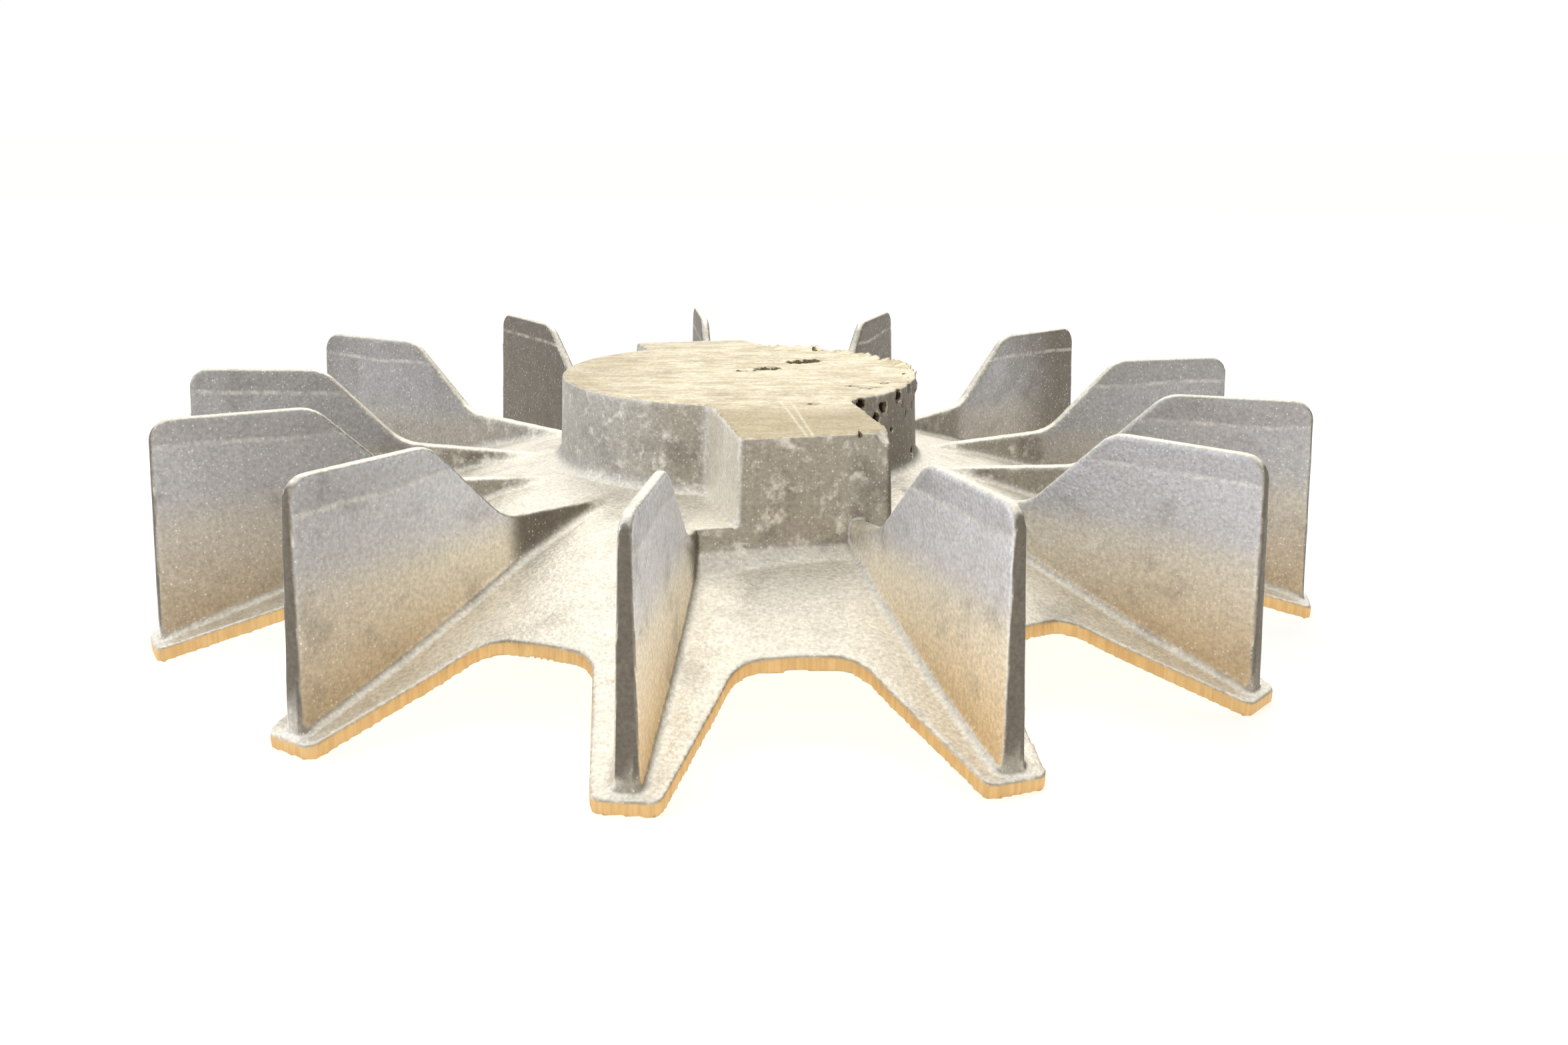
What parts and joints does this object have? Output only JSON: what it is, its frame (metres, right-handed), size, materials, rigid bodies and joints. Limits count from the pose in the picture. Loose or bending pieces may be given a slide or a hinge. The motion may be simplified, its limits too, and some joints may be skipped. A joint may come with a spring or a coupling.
{
  "type": "fan impeller",
  "caption": "Cast radial-paddle cooling fan impeller: a dished star plate with upright blades, ribs and a solid unbored hub with two lugs.",
  "frame": {"origin": "on the spin axis, in the plane that the fingertips rest on", "axes": "+Z along the spin axis, from the dished underside to the bladed side; the larger lug points about 10 degrees to the +X side of -Y, and the star is turned so that its thirteen fingers fill the bounding box evenly"},
  "size_m": [0.2047, 0.2047, 0.0373],
  "materials": {
    "cast_aluminium": "as cast and shot blasted, satin with a fine sparkle; hub top sawn flat"
  },
  "bodies": {
    "root": {"fan_impeller": "cast_aluminium"}
  },
  "joints": []
}
